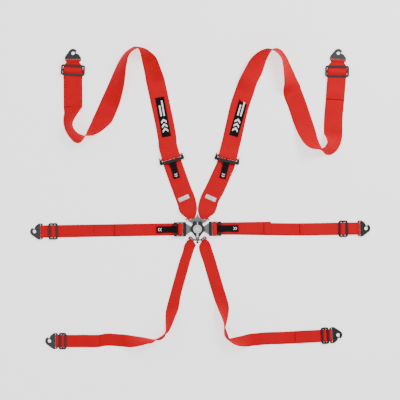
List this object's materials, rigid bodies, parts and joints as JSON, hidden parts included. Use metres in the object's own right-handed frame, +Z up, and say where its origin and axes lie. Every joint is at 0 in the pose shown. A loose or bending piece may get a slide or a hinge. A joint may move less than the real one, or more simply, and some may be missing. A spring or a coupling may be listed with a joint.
{
  "type": "racing harness",
  "caption": "Racing harness with a cam-lock buckle, shoulder, lap and crotch straps of flat webbing, tilt-lock adjusters, slides and snap hooks.",
  "frame": {"origin": "under the buckle axis, on the face the buckle rests on", "axes": "+Y toward the shoulder straps, +X toward the right of the laid-out harness, +Z up out of the buckle"},
  "size_m": [1.3618, 1.2119, 0.0745],
  "materials": {
    "webbing_red": "woven polyester webbing",
    "label_black": "woven label",
    "label_white": "woven label",
    "tab_black": "stitched webbing",
    "steel_black": "semi-gloss black",
    "steel_grey": "dark grey satin",
    "steel_bright": "brushed",
    "disc_silver": "satin",
    "knob_black": "satin moulded",
    "spring_steel": "bright"
  },
  "bodies": {
    "buckle": {"back_plate": "steel_black", "buckle_housing": "steel_black", "strap_lug": "steel_bright", "lug_rivet": "steel_bright", "lap_tongue_left": "steel_bright", "lap_strap_left": "webbing_red"},
    "knob": {"knob": "knob_black", "pointer_strip": "disc_silver", "knob_disc": "disc_silver"},
    "latch": {"latch_spider": "steel_bright", "latch_spring": "spring_steel"},
    "shoulder_left": {"shoulder_tongue_left": "steel_bright", "shoulder_lower_strap_left": "webbing_red", "care_label_left": "label_white", "shoulder_upper_strap_left": "webbing_red", "shoulder_label_left": "label_black"},
    "shoulder_right": {"shoulder_tongue_right": "steel_bright", "shoulder_lower_strap_right": "webbing_red", "care_label_right": "label_white", "shoulder_upper_strap_right": "webbing_red", "shoulder_label_right": "label_black"},
    "lap_right": {"lap_tongue_right": "steel_bright", "lap_strap_right": "webbing_red"},
    "crotch": {"crotch_tongue": "steel_bright", "crotch_bracket": "steel_black", "crotch_keeper": "steel_black", "crotch_strap_left": "webbing_red", "crotch_strap_right": "webbing_red"},
    "shoulder_adjuster_left": {"shoulder_adjuster_left": "steel_black", "shoulder_grip_bar_left": "steel_black"},
    "shoulder_tab_left": {"shoulder_tab_left": "tab_black"},
    "lap_adjuster_left": {"lap_adjuster_left": "steel_black", "lap_grip_bar_left": "steel_bright"},
    "lap_tab_left": {"lap_tab_left": "tab_black"},
    "shoulder_adjuster_right": {"shoulder_adjuster_right": "steel_black", "shoulder_grip_bar_right": "steel_black"},
    "shoulder_tab_right": {"shoulder_tab_right": "tab_black"},
    "lap_adjuster_right": {"lap_adjuster_right": "steel_black", "lap_grip_bar_right": "steel_bright"},
    "lap_tab_right": {"lap_tab_right": "tab_black"},
    "slide_shoulder_left": {"slide_shoulder_left": "steel_grey"},
    "hook_shoulder_left": {"hook_shoulder_left": "steel_grey"},
    "gate_shoulder_left": {"gate_shoulder_left": "steel_bright"},
    "slide_shoulder_right": {"slide_shoulder_right": "steel_black"},
    "hook_shoulder_right": {"hook_shoulder_right": "steel_black"},
    "gate_shoulder_right": {"gate_shoulder_right": "steel_bright"},
    "slide_lap_left": {"slide_lap_left": "steel_grey"},
    "hook_lap_left": {"hook_lap_left": "steel_grey"},
    "gate_lap_left": {"gate_lap_left": "steel_bright"},
    "slide_lap_right": {"slide_lap_right": "steel_black"},
    "hook_lap_right": {"hook_lap_right": "steel_black"},
    "gate_lap_right": {"gate_lap_right": "steel_bright"},
    "slide_crotch_left": {"slide_crotch_left": "steel_grey"},
    "hook_crotch_left": {"hook_crotch_left": "steel_grey"},
    "gate_crotch_left": {"gate_crotch_left": "steel_bright"},
    "slide_crotch_right": {"slide_crotch_right": "steel_black"},
    "hook_crotch_right": {"hook_crotch_right": "steel_black"},
    "gate_crotch_right": {"gate_crotch_right": "steel_bright"}
  },
  "joints": [
    {"name": "knob_turn", "type": "hinge", "parent": "buckle", "child": "knob", "pos_m": [0, 0, 0.02], "axis": [0, 0, 1], "range_deg": [0, 45], "stiffness_Nm_per_rad": 0.05},
    {"name": "latch_lift", "type": "slide", "parent": "buckle", "child": "latch", "axis": [0, 0, 1], "range_m": [0, 0.0032], "deforming": ["latch_spring"]},
    {"name": "shoulder_left_tongue_play", "type": "slide", "parent": "buckle", "child": "shoulder_left", "axis": [-0.5, 0.866, 0], "range_m": [0, 0.0022]},
    {"name": "shoulder_right_tongue_play", "type": "slide", "parent": "buckle", "child": "shoulder_right", "axis": [0.5, 0.866, 0], "range_m": [0, 0.0022]},
    {"name": "lap_right_tongue_play", "type": "slide", "parent": "buckle", "child": "lap_right", "axis": [0.9999, 0.0157, 0], "range_m": [0, 0.0022]},
    {"name": "crotch_tongue_play", "type": "slide", "parent": "buckle", "child": "crotch", "axis": [0, -1, 0], "range_m": [0, 0.0022]},
    {"name": "shoulder_adjuster_left_tilt", "type": "hinge", "parent": "shoulder_left", "child": "shoulder_adjuster_left", "pos_m": [-0.10263, 0.27477, 0.0048], "axis": [-0.9622, -0.2723, 0], "range_deg": [0, 20]},
    {"name": "shoulder_tab_left_swing", "type": "hinge", "parent": "shoulder_adjuster_left", "child": "shoulder_tab_left", "pos_m": [-0.09937, 0.26323, 0.008], "axis": [-0.9622, -0.2723, 0], "range_deg": [0, 120]},
    {"name": "lap_adjuster_left_tilt", "type": "hinge", "parent": "buckle", "child": "lap_adjuster_left", "pos_m": [-0.04999, -0.00078, 0.0085], "axis": [-0.0157, 0.9999, 0], "range_deg": [0, 12]},
    {"name": "lap_tab_left_swing", "type": "hinge", "parent": "lap_adjuster_left", "child": "lap_tab_left", "pos_m": [-0.08499, -0.00134, 0.011], "axis": [-0.0157, 0.9999, 0], "range_deg": [0, 120]},
    {"name": "shoulder_adjuster_right_tilt", "type": "hinge", "parent": "shoulder_right", "child": "shoulder_adjuster_right", "pos_m": [0.11741, 0.27483, 0.0048], "axis": [-0.972, 0.2351, 0], "range_deg": [0, 20]},
    {"name": "shoulder_tab_right_swing", "type": "hinge", "parent": "shoulder_adjuster_right", "child": "shoulder_tab_right", "pos_m": [0.11459, 0.26317, 0.008], "axis": [-0.972, 0.2351, 0], "range_deg": [0, 120]},
    {"name": "lap_adjuster_right_tilt", "type": "hinge", "parent": "lap_right", "child": "lap_adjuster_right", "pos_m": [0.04999, 0.00078, 0.0085], "axis": [0.0157, -0.9999, 0], "range_deg": [0, 12]},
    {"name": "lap_tab_right_swing", "type": "hinge", "parent": "lap_adjuster_right", "child": "lap_tab_right", "pos_m": [0.08499, 0.00134, 0.011], "axis": [0.0157, -0.9999, 0], "range_deg": [0, 120]},
    {"name": "slide_shoulder_left_travel", "type": "slide", "parent": "shoulder_left", "child": "slide_shoulder_left", "axis": [0, -1, 0], "range_m": [-0.006, 0.015]},
    {"name": "hook_shoulder_left_swing", "type": "hinge", "parent": "shoulder_left", "child": "hook_shoulder_left", "pos_m": [-0.498, 0.673, 0.0063], "axis": [1, 0, 0], "range_deg": [0, 100]},
    {"name": "gate_shoulder_left_open", "type": "hinge", "parent": "hook_shoulder_left", "child": "gate_shoulder_left", "pos_m": [-0.49, 0.69293, 0.00459], "axis": [0, 0.0854, 0.9963], "range_deg": [0, 28], "stiffness_Nm_per_rad": 0.02},
    {"name": "slide_shoulder_right_travel", "type": "slide", "parent": "shoulder_right", "child": "slide_shoulder_right", "axis": [-0.0698, -0.9976, 0], "range_m": [-0.006, 0.015]},
    {"name": "hook_shoulder_right_swing", "type": "hinge", "parent": "shoulder_right", "child": "hook_shoulder_right", "pos_m": [0.561, 0.673, 0.0063], "axis": [0.9976, -0.0698, 0], "range_deg": [0, 100]},
    {"name": "gate_shoulder_right_open", "type": "hinge", "parent": "hook_shoulder_right", "child": "gate_shoulder_right", "pos_m": [0.57037, 0.69232, 0.00459], "axis": [0.006, 0.0852, 0.9963], "range_deg": [0, 28], "stiffness_Nm_per_rad": 0.02},
    {"name": "slide_lap_left_travel", "type": "slide", "parent": "buckle", "child": "slide_lap_left", "axis": [0.9999, 0.0157, 0], "range_m": [-0.006, 0.015]},
    {"name": "hook_lap_left_swing", "type": "hinge", "parent": "buckle", "child": "hook_lap_left", "pos_m": [-0.622, -0.01, 0.0063], "axis": [-0.0157, 0.9999, 0], "range_deg": [0, 100]},
    {"name": "gate_lap_left_open", "type": "hinge", "parent": "hook_lap_left", "child": "gate_lap_left", "pos_m": [-0.64205, -0.00231, 0.00459], "axis": [-0.0854, -0.0013, 0.9963], "range_deg": [0, 28], "stiffness_Nm_per_rad": 0.02},
    {"name": "slide_lap_right_travel", "type": "slide", "parent": "lap_right", "child": "slide_lap_right", "axis": [-0.9999, -0.0157, 0], "range_m": [-0.006, 0.012]},
    {"name": "hook_lap_right_swing", "type": "hinge", "parent": "lap_right", "child": "hook_lap_right", "pos_m": [0.644, 0.002, 0.0063], "axis": [0.0157, -0.9999, 0], "range_deg": [0, 100]},
    {"name": "gate_lap_right_open", "type": "hinge", "parent": "hook_lap_right", "child": "gate_lap_right", "pos_m": [0.6638, 0.01031, 0.00459], "axis": [-0.0854, -0.0013, -0.9963], "range_deg": [0, 28], "stiffness_Nm_per_rad": 0.02},
    {"name": "slide_crotch_left_travel", "type": "slide", "parent": "crotch", "child": "slide_crotch_left", "axis": [1, 0, 0], "range_m": [0, 0.015]},
    {"name": "hook_crotch_left_swing", "type": "hinge", "parent": "crotch", "child": "hook_crotch_left", "pos_m": [-0.562, -0.448, 0.0063], "axis": [0, 1, 0], "range_deg": [0, 100]},
    {"name": "gate_crotch_left_open", "type": "hinge", "parent": "hook_crotch_left", "child": "gate_crotch_left", "pos_m": [-0.58193, -0.44, 0.00459], "axis": [-0.0854, 0, 0.9963], "range_deg": [0, 28], "stiffness_Nm_per_rad": 0.02},
    {"name": "slide_crotch_right_travel", "type": "slide", "parent": "crotch", "child": "slide_crotch_right", "axis": [-0.9983, -0.0576, 0], "range_m": [0, 0.015]},
    {"name": "hook_crotch_right_swing", "type": "hinge", "parent": "crotch", "child": "hook_crotch_right", "pos_m": [0.532, -0.425, 0.0063], "axis": [0.0576, -0.9983, 0], "range_deg": [0, 100]},
    {"name": "gate_crotch_right_open", "type": "hinge", "parent": "hook_crotch_right", "child": "gate_crotch_right", "pos_m": [0.55235, -0.43184, 0.00459], "axis": [0.0853, 0.0049, 0.9963], "range_deg": [0, 28], "stiffness_Nm_per_rad": 0.02}
  ],
  "couplings": [
    {"joint": "latch_lift", "follows": "knob_turn", "m_per_rad": 0.00407}
  ]
}
